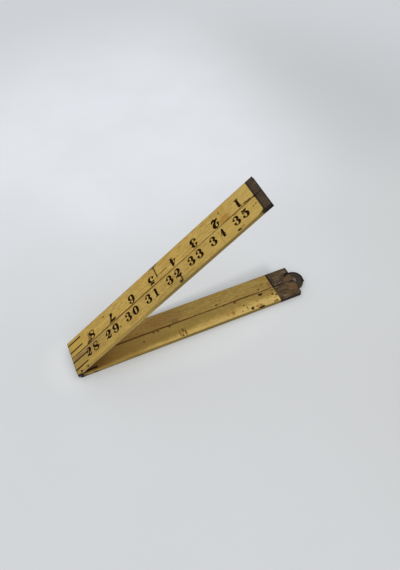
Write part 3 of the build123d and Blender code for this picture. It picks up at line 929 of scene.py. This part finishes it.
# Steel pins and washers
# The folds' two hinge pins and the closing pin are dull drawn steel wire, driven in. The main joint's two
# washers are cut from thin steel and lie between its cheeks and its tongue.

steel = Finish("dull_steel", paint(78, 74, 70), metallic=0.6)
steel_place = steel.place()
rust = steel.cloud(steel_place, 1.4, 4.0, 0.6)
steel.coat(steel.ramp(rust, 0.5, 0.7, 0, 0.8), paint(64, 44, 30))
drawn = steel.cloud(steel_place, (4, 0.3, 4), 2.0)
steel.coat(steel.ramp(drawn, 0.5, 0.7, 0, 0.5), paint(48, 45, 42))
steel.bump(drawn, 0.01)
dress(("fold_pin_near", "fold_pin_far", "joint_washers", "closing_pin"), steel.material)


# Tips
# Caps of thin sheet brass over the ends of the outer legs, gone dark brown, with their edges eased by a
# file. One small flush pin through the wood holds each cap.

cap_start = 221.3
cap_ease = 0.1
cap_brass = old_brass(
    "dark_cap_brass",
    (paint(66, 53, 40), paint(76, 62, 46), paint(90, 73, 52), paint(44, 33, 24)), 40, 0.5,
    marks=0.5, spread=0.6,
    worn_spots_and_painted_light=[
        ((227.6, 9.8, top_face), (1, 1.4, 1), paint(112, 90, 56), 0.6),
        ((226, -8, top_face), (1.6, 4, 1), paint(80, 66, 54), 0.4)],
    bars=[
        ((cap_start, 0), (0.8, 19), black_brown, 0.8), ((225, 0), (5, 0.4), black_brown, 0.85),
        # The bars along the near edge and the end are painted shadow lines.
        ((225, -17.2), (5, 0.4), black_brown, 0.7), ((228.5, 0), (0.3, 19), black_brown, 0.6)],
    # The caps' sides take a near-black painted shade.
    painted_side_shading=paint(24, 21, 18))
for name, body in (("tip_36", "near_outer"), ("tip_0", "far_outer")):
    cap = piece("brass_" + name, eased(name, cap_ease, raised), raised, cap_brass, body)
    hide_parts(name)
dress(("tip_pin_36", "tip_pin_0"), pin_brass)


# Table, light and camera
# A pale plain table with painted light on it: lighter to the far left and darker to the right, as the
# light falls off, and painted lighter round the rule and beyond its left end, where this thins the rule's
# own shadow. One small soft lamp hangs over it in an even white room, and it is seen from the near left
# side.

table_size = 40.0
half = table_size / 2
table_mesh = bpy.data.meshes.new("table")
table_mesh.from_pydata(
    [(-half, -half, 0), (half, -half, 0), (half, half, 0), (-half, half, 0)], [], [(0, 1, 2, 3)])
table = placed("table", table_mesh)
table_top = Finish("pale_table", paint(206, 208, 209), roughness=0.8, shine=0.2)
table_place = table_top.place()
table_x, table_y = table_top.split(table_place)[:2]


def table_corner(start_x, full_x, start_y, full_y, share=1.0):
    """A share of colour that grows towards one corner of the table."""
    by_y = table_top.ramp(table_y, start_y, full_y, 0, share)
    return table_top.times(table_top.ramp(table_x, start_x, full_x), by_y)


def table_patch(x, y, reach_x, reach_y, *levels):
    """A soft round patch on the table, with the levels of its ramp."""
    from_middle = table_top.spot(table_place, (x, y, 0), (reach_x, reach_y, any_height))
    return table_top.ramp(from_middle, *levels)


# Painted light and shade: the table is lighter to the far left and darker towards the right.
left_painted_light = table_top.ramp(table_x, 215.0, 0.0)
pale_painted_light = table_top.times(table_top.ramp(table_y, 5.0, 235.0), left_painted_light)
left_end = table_corner(-140, -260, 320, 200, 0.45)
pale_painted_light = table_top.minus(pale_painted_light, table_top.times(left_end, pale_painted_light))
near_right_painted_shade = table_corner(-110, 90, -30, -170)
far_right_painted_shade = table_corner(100, 270, 50, 190)
# Painted light: three paler patches round the rule and by its fold, which thin its shadow there.
middle = table_patch(-50, 15, 170, 120, 0.25, 1.0, 0.4, 0)
close_by_painted_light = table_patch(-120, -8, 130, 52, 0.6, 1.0, 0.5, 0)
by_fold_painted_light = table_patch(-232, 0, 36, 40, 0.2, 1.0, 0.9, 0)
beyond = table_patch(-40, 60, 1, 1, 330, 620)
cloudy = table_top.ramp(table_top.cloud(table_place, 0.012, 4.0), 0.35, 0.7, 0, 0.15)
for share, shade in (
        (left_painted_light, paint(210, 212, 214)), (middle, paint(222, 225, 227)),
        (pale_painted_light, paint(228, 230, 235)), (near_right_painted_shade, paint(204, 205, 206)),
        (far_right_painted_shade, paint(198, 200, 203)), (close_by_painted_light, paint(224, 226, 227)),
        (by_fold_painted_light, paint(222, 224, 226)), (cloudy, paint(204, 205, 207)), (beyond, paint(213, 215, 218))):
    table_top.coat(share, shade)
table_mesh.materials.append(table_top.material)

lamp_data = bpy.data.lights.new("overhead_lamp", "AREA")
lamp_data.shape = "DISK"
lamp_data.size = 0.11
lamp_data.energy = 4.4
lamp_data.color = (1.0, 0.97, 0.92)
lamp = placed("overhead_lamp", lamp_data)
lamp.location = (-0.36, -0.125, 1.5)
lamp_aim = Vector((-0.11, 0, 0))
lamp.rotation_euler = (lamp_aim - lamp.location).to_track_quat("-Z", "Y").to_euler()

room_light = 0.84
world = bpy.data.worlds.new("white_room")
bpy.context.scene.world = world
world.use_nodes = True
room = world.node_tree.nodes["Background"]
room.inputs["Color"].default_value = (0.97, 0.985, 1.0, 1)
room.inputs["Strength"].default_value = room_light

camera_place = Vector((-0.21823, -0.27943, 0.44004))
aim_place = Vector((-0.08799, 0.03595, 0.0))
camera_roll = math.radians(-1.513)
camera_data = bpy.data.cameras.new("camera")
camera_data.sensor_fit = "AUTO"
camera_data.sensor_width = 36.0
camera_data.lens = 34.345
camera_data.clip_start = 0.01
camera = placed("camera", camera_data)
upright_view = (aim_place - camera_place).to_track_quat("-Z", "Y").to_matrix().to_4x4()
camera.matrix_world = (
    Matrix.Translation(camera_place) @ upright_view @ Matrix.Rotation(camera_roll, 4, "Z"))
bpy.context.scene.camera = camera
bpy.context.scene.view_settings.view_transform = "Standard"
